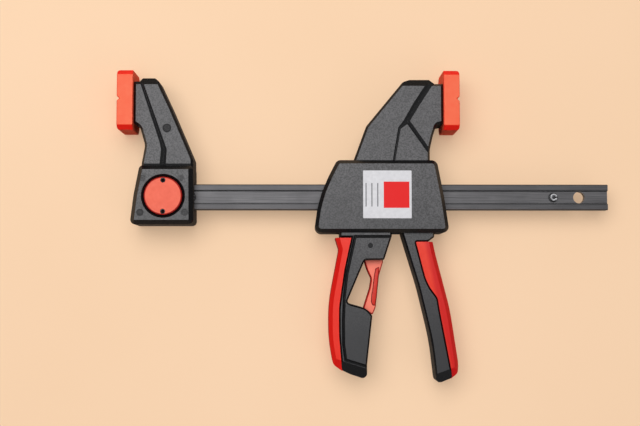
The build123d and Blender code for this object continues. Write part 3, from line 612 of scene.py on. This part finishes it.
def makeFingerRail():
    bm = bmesh.new()
    low = fingerRail["middle"] - fingerRail["half"]
    corners = [bm.verts.new((x * mm, y * mm, low * mm)) for x, y in fingerRail["outline"]]
    bm.faces.new(corners)
    thicken(bm, 2 * fingerRail["half"])
    roundOff(bm, bm.edges[:], fingerRail["round"])
    return asPiece("finger_rail", bm, materials["rail"], "trigger", smooth=True)


# screws with a cross recess: sizes, and where the underside of each head stands
carriageScrews = {
    "head": 3.4, "height": 2.4, "shank": 1.7, "length": 23.5, "rim": 0.5, "recess": 1.2,
    "at": [(-29.5, 20.2, 3.0), (37.2, 20.0, 3.0), (-41.5, -20.5, 3.0),
           (38.0, 69.2, 6.0), (-20.0, -123.5, 6.0)],
    "up": False, "body": "carriage", "slot": "pin_steel", "node": "housing_screws",
}
buttonScrews = {
    "head": 1.9, "height": 1.0, "shank": 1.2, "length": 26.8, "rim": 0.25, "recess": 0.6,
    "at": [(-163.5, -11.7, 34.6), (-163.5, 11.7, 34.6)],
    "up": True, "body": "lock", "slot": "pin_steel", "node": "lock_screws",
}
cross = {"half": 0.16, "reach": 0.58, "taper": 0.8}  # shares of the head's radius
shankOverlap = 0.2  # how far a shank goes into its head


def cutCross(bm, head, height, recess):
    # cuts the head's top along the edges of a cross, and sinks what lies inside
    narrow, wide = head * cross["half"], head * cross["reach"]
    for reach in (-wide, -narrow, narrow, wide):
        for across in ((1, 0, 0), (0, 1, 0)):
            bmesh.ops.bisect_plane(bm, geom=everything(bm), plane_co=Vector(across) * reach,
                                   plane_no=across)
    slots = []
    for face in bm.faces:
        spot = face.calc_center_median()
        near, far = sorted((abs(spot.x), abs(spot.y)))
        if spot.z > height * 0.98 and near < narrow and far < wide:
            slots.append(face)
    bottom = pointsOf(bmesh.ops.extrude_face_region(bm, geom=slots))
    bmesh.ops.translate(bm, vec=(0, 0, -recess), verts=bottom)
    bmesh.ops.scale(bm, vec=(cross["taper"], cross["taper"], 1), verts=bottom)


def makeScrews(name, screws):
    bm = bmesh.new()
    head, height = screws["head"] * mm, screws["height"] * mm
    bmesh.ops.create_cone(bm, cap_ends=True, segments=32, radius1=head, radius2=head, depth=height)
    bmesh.ops.translate(bm, vec=(0, 0, height / 2), verts=bm.verts)
    rim = [e for e in bm.edges if all(v.co.z > height * 0.9 for v in e.verts)]
    roundOff(bm, rim, screws["rim"])
    cutCross(bm, head, height, screws["recess"] * mm)
    shank, length = screws["shank"] * mm, screws["length"] * mm
    made = bmesh.ops.create_cone(bm, cap_ends=True, segments=16, radius1=shank, radius2=shank,
                                 depth=length)
    bmesh.ops.translate(bm, vec=(0, 0, shankOverlap * mm - length / 2), verts=made["verts"])
    if not screws["up"]:
        turn(bm, math.pi, "X")
    master = everything(bm)
    for spot in screws["at"][1:]:
        copied = bmesh.ops.duplicate(bm, geom=master)
        bmesh.ops.translate(bm, vec=Vector(spot) * mm, verts=pointsOf(copied))
    first = pointsOf({"geom": master})
    bmesh.ops.translate(bm, vec=Vector(screws["at"][0]) * mm, verts=first)
    piece = asPiece(name, bm, materials["screw"], screws["body"], smooth=True)
    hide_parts(screws["node"])
    return piece


# the inner turn of each rolled stop pin, which closes its bore; its near-black finish is painted
# shade for the dark inside of the bore
pinCores = {"radius": 1.38, "half": 5.6, "rim": 0.3}


def makePinCores():
    bm = bmesh.new()
    radius, depth = pinCores["radius"] * mm, 2 * pinCores["half"] * mm
    for x, y in pinHoles:
        made = bmesh.ops.create_cone(bm, cap_ends=True, segments=24, radius1=radius,
                                     radius2=radius, depth=depth)
        ends = [e for e in bm.edges
                if e.verts[0] in made["verts"] and abs(e.verts[0].co.z - e.verts[1].co.z) < 1e-6]
        bmesh.ops.translate(bm, vec=Vector((x, y, shellPlane)) * mm, verts=made["verts"])
        roundOff(bm, ends, pinCores["rim"])
    return asPiece("pin_cores", bm, materials["screw"], "bar_assembly", smooth=True)


# springs of round wire, standing where the CAD's springs stand
springs = {
    "lock_spring": {
        "name": "lock_coil", "alongX": False, "wire": 1.0, "turns": 4,
        "joint": "lock_press", "travel": 3.9, "body": "bar_assembly",
    },
    "drive_spring": {
        "name": "drive_coil", "alongX": True, "wire": 1.6, "turns": 4,
        "joint": "plates_feed", "travel": 1.7, "body": "carriage",
    },
    "brake_spring": {
        "name": "brake_coil", "alongX": True, "wire": 1.0, "turns": 6,
        "joint": "brake_tilt", "travel": 1.7, "body": "carriage",
    },
}
coilSteps = 28  # in each turn
endRoom = 0.1  # between a coil and what it pushes on


def makeSpring(node, spring):
    low, high = (Vector(corner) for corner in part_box(node))
    along = 0 if spring["alongX"] else 2
    wire, turns = spring["wire"] * mm, spring["turns"]
    length = high[along] - low[along]
    width = max(high[axis] - low[axis] for axis in range(3) if axis != along)
    radius = (width - wire) / 2
    start = (low + high) / 2
    start[along] = low[along]
    bm = bmesh.new()
    bmesh.ops.create_circle(bm, cap_ends=True, segments=12, radius=wire / 2)
    turn(bm, math.pi / 2, "X")
    bmesh.ops.translate(bm, vec=(radius, 0, wire / 2 + endRoom * mm), verts=bm.verts)
    steps = coilSteps * turns
    rise = length - wire - 2 * endRoom * mm
    bmesh.ops.spin(bm, geom=everything(bm), cent=(0, 0, 0), axis=(0, 0, 1),
                   dvec=(0, 0, rise / steps), angle=2 * math.pi * turns, steps=steps)
    if spring["alongX"]:
        turn(bm, math.pi / 2, "Y")
    bmesh.ops.translate(bm, vec=start, verts=bm.verts)
    piece = asPiece(spring["name"], bm, materials["spring"], spring["body"],
                    smooth=True)
    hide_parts(node)
    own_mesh(piece)
    return piece


makeLabel()
makeFingerRail()
makePinCores()
for springNode, spring in springs.items():
    makeSpring(springNode, spring)
makeScrews("carriage_screws", carriageScrews)
makeScrews("button_screws", buttonScrews)
print("new pieces made")

# plain warm floor, of which a share shows at a set level so that shadows on it stay pale
floorLook = {
    "deep": (0.94, 0.650, 0.420, 1), "light": (0.97, 0.680, 0.450, 1),
    "patchScale": 3, "rough": 0.8, "half": 6.0,  # half its side, in metres
    "share": 0.35, "level": 1.05,
}


def paleFloor():
    mat, tree, shader, coords = startMaterial("paleFloor", {"Roughness": floorLook["rough"]})
    cloud = noise(tree, coords.outputs["Object"], floorLook["patchScale"], 3)
    patches = remap(tree, cloud, 0.3, 0.7, 0, 1)
    colour = mixColour(tree, patches, floorLook["deep"], floorLook["light"])
    tree.links.new(colour, shader.inputs["Base Color"])
    glow = addNode(tree, "Emission", {"Color": colour, "Strength": floorLook["level"]}).outputs[0]
    ray = addNode(tree, "LightPath")
    seen = maths(tree, "MAXIMUM", ray.outputs["Is Camera Ray"], ray.outputs["Is Glossy Ray"])
    share = times(tree, seen, floorLook["share"])
    paled = addNode(tree, "MixShader", {0: share, 1: shader.outputs[0], 2: glow}).outputs[0]
    tree.links.new(paled, tree.nodes["Material Output"].inputs["Surface"])
    return mat


floorBm = bmesh.new()
bmesh.ops.create_grid(floorBm, x_segments=1, y_segments=1, size=floorLook["half"])
floorMesh = bpy.data.meshes.new("floor")
floorBm.to_mesh(floorMesh)
floorBm.free()
floorMesh.materials.append(paleFloor())
addToScene("floor", floorMesh)

# a softbox above the top left corner, a weak one from the right, and an even studio
lamps = {
    "softbox": {"at": (-0.30, 0.40, 1.50), "size": (1.4, 1.2), "watts": 20},
    "rim": {"at": (0.9, -0.9, 0.9), "size": (0.8, 0.8), "watts": 1.0},
}
room = {
    "colour": (0.97, 0.98, 1.0, 1),
    "lowLight": 0.12, "low": 0.1,  # its strength near the horizon, up to this height of a direction
    "highLight": 0.40, "high": 0.9,  # and overhead, from this height
}
for lampName, lamp in lamps.items():
    light = bpy.data.lights.new(lampName, "AREA")
    light.shape = "RECTANGLE"
    light.size, light.size_y = lamp["size"]
    light.energy = lamp["watts"]
    holder = addToScene(lampName, light)
    holder.location = lamp["at"]
    holder.rotation_euler = (-Vector(lamp["at"])).to_track_quat("-Z", "Y").to_euler()

world = bpy.data.worlds.new("studio")
world.use_nodes = True
worldTree = world.node_tree
backdrop = worldTree.nodes["Background"]
backdrop.inputs["Color"].default_value = room["colour"]
skyward = axisOf(worldTree, addNode(worldTree, "TexCoord").outputs["Object"], "Z")
overhead = remap(worldTree, skyward, room["low"], room["high"], room["lowLight"], room["highLight"])
worldTree.links.new(overhead, backdrop.inputs["Strength"])
bpy.context.scene.world = world

cameraSet = {"at": (-0.055, -0.065, 0.870), "target": (-0.04563, -0.0118, 0.018), "lens": 62.8}
cameraData = bpy.data.cameras.new("photoCamera")
cameraData.lens = cameraSet["lens"]
camera = addToScene("photoCamera", cameraData)
camera.location = cameraSet["at"]
aim = Vector(cameraSet["target"]) - Vector(cameraSet["at"])
side = aim.cross(Vector((0, 1, 0))).normalized()
up = side.cross(aim).normalized()
camera.rotation_euler = Matrix((side, up, -aim.normalized())).transposed().to_euler()
bpy.context.scene.camera = camera
bpy.context.scene.view_settings.view_transform = "Standard"
print("stage set")
